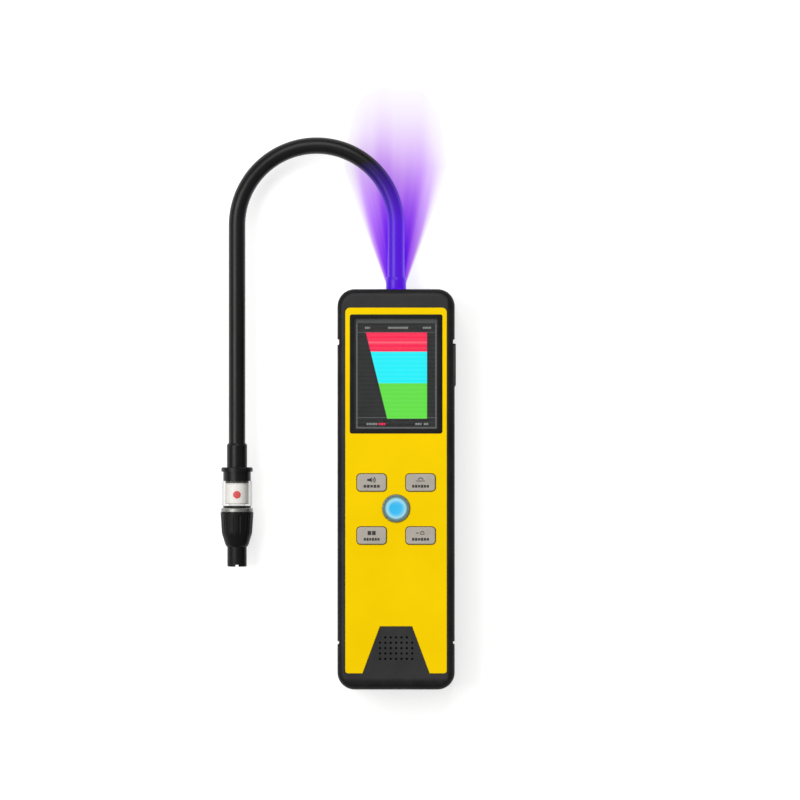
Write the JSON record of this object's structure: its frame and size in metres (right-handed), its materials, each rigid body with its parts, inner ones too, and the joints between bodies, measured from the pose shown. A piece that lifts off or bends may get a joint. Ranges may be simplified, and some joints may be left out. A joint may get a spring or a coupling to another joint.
{
  "type": "infrared leak detector",
  "caption": "Hand-held infrared refrigerant leak detector with a colour display, keys and a bent gooseneck that ends in a filter probe.",
  "frame": {"origin": "centre of the housing's flat back face, which the detector lies on", "axes": "+Z out of the display face, +Y along the housing towards the gooseneck, +X to the reader's right"},
  "size_m": [0.1232, 0.2887, 0.0352],
  "materials": {
    "housing_plastic": "fine moulded grain",
    "panel_yellow": "smooth satin",
    "grip_rubber": "matte",
    "frame_black": "glossy",
    "window_clear": "clear",
    "display_dark": "dark display",
    "tray_plastic": "moulded",
    "key_grey": "satin",
    "button_blue": "satin, lit",
    "light_ring_clear": "frosted, lit",
    "rim_metal": "dark polished",
    "board_green": "solder mask",
    "switch_black": "moulded",
    "plunger_plastic": "moulded",
    "screw_steel": "black oxide",
    "speaker_black": "moulded",
    "mesh_fabric": "fine woven",
    "socket_steel": "plated",
    "gland_metal": "black anodised",
    "sheath_rubber": "smooth satin",
    "spine_steel": "drawn",
    "tube_clear": "translucent",
    "lamp_lens": "clear, lit violet",
    "emitter_white": "plain",
    "probe_black": "satin",
    "chamber_clear": "clear plastic",
    "filter_white": "pressed fibre",
    "marker_red": "plain",
    "seal_rubber": "matte",
    "ring_silver": "satin turned",
    "nozzle_black": "satin",
    "cell_wrap": "shrink wrap",
    "contact_brass": "plated",
    "pump_plastic": "moulded",
    "motor_steel": "plain",
    "cell_aluminium": "turned",
    "can_metal": "plated"
  },
  "bodies": {
    "housing": {"rear_shell": "housing_plastic", "front_shell": "housing_plastic", "front_panel": "panel_yellow", "left_grip": "grip_rubber", "right_grip": "grip_rubber", "window_frame": "frame_black", "display_window": "window_clear", "display_panel": "display_dark", "display_tray": "tray_plastic", "battery_cradle": "tray_plastic", "power_light_ring": "light_ring_clear", "power_rim": "rim_metal", "main_board": "board_green", "uv_lamp_board": "board_green", "tact_switches": "switch_black", "board_screws": "screw_steel", "case_screws": "screw_steel", "speaker": "speaker_black", "speaker_mesh": "mesh_fabric", "usb_socket": "socket_steel", "neck_gland": "gland_metal", "neck_nut": "gland_metal", "neck_sheath": "sheath_rubber", "neck_spine": "spine_steel", "sample_tube": "tube_clear", "pump_hose": "tube_clear", "exhaust_hose": "tube_clear", "uv_lamp_lens": "lamp_lens", "uv_emitter": "emitter_white", "battery_cell": "cell_wrap", "battery_contacts": "contact_brass", "pump_head": "pump_plastic", "pump_motor": "motor_steel", "infrared_cell": "cell_aluminium", "infrared_emitter": "can_metal", "infrared_detector": "can_metal"},
    "key_top_left": {"key_top_left": "key_grey", "plunger_top_left": "plunger_plastic"},
    "key_top_right": {"key_top_right": "key_grey", "plunger_top_right": "plunger_plastic"},
    "key_bottom_left": {"key_bottom_left": "key_grey", "plunger_bottom_left": "plunger_plastic"},
    "key_bottom_right": {"key_bottom_right": "key_grey", "plunger_bottom_right": "plunger_plastic"},
    "power_button": {"power_button": "button_blue", "power_plunger": "plunger_plastic"},
    "port_cover": {"port_cover": "grip_rubber"},
    "probe_head": {"tip_sleeve": "probe_black", "probe_collar": "probe_black", "filter_chamber": "chamber_clear", "filter_element": "filter_white", "filter_marker": "marker_red", "seal_ring": "seal_rubber"},
    "clamp_ring": {"clamp_ring": "ring_silver"},
    "nozzle": {"nozzle": "nozzle_black", "inlet_tip": "nozzle_black"}
  },
  "joints": [
    {"name": "key_top_left_press", "type": "slide", "parent": "housing", "child": "key_top_left", "axis": [0, 0, -1], "range_m": [0, 0.0006], "stiffness_N_per_m": 400, "springref_m": -0.002},
    {"name": "key_top_right_press", "type": "slide", "parent": "housing", "child": "key_top_right", "axis": [0, 0, -1], "range_m": [0, 0.0006], "stiffness_N_per_m": 400, "springref_m": -0.002},
    {"name": "key_bottom_left_press", "type": "slide", "parent": "housing", "child": "key_bottom_left", "axis": [0, 0, -1], "range_m": [0, 0.0006], "stiffness_N_per_m": 400, "springref_m": -0.002},
    {"name": "key_bottom_right_press", "type": "slide", "parent": "housing", "child": "key_bottom_right", "axis": [0, 0, -1], "range_m": [0, 0.0006], "stiffness_N_per_m": 400, "springref_m": -0.002},
    {"name": "power_press", "type": "slide", "parent": "housing", "child": "power_button", "axis": [0, 0, -1], "range_m": [0, 0.0006], "stiffness_N_per_m": 400, "springref_m": -0.002},
    {"name": "port_cover_swing", "type": "hinge", "parent": "housing", "child": "port_cover", "pos_m": [0.0294, 0.0548, 0.0224], "axis": [0, 0, -1], "range_deg": [0, 100]},
    {"name": "neck_bend", "type": "hinge", "parent": "housing", "child": "probe_head", "pos_m": [-0.04165, 0.17985, 0.015], "axis": [0, 0, 1], "range_deg": [-90, 10], "deforming": ["neck_sheath", "neck_spine", "sample_tube"]},
    {"name": "nozzle_travel", "type": "slide", "parent": "probe_head", "child": "clamp_ring", "axis": [0, -1, 0], "range_m": [0, 0.0046]},
    {"name": "nozzle_turn", "type": "hinge", "parent": "clamp_ring", "child": "nozzle", "pos_m": [-0.0833, -0.021, 0.015], "axis": [0, -1, 0], "range_deg": [0, 1080]}
  ],
  "couplings": [
    {"joint": "nozzle_travel", "follows": "nozzle_turn", "m_per_rad": 0.00023873}
  ]
}
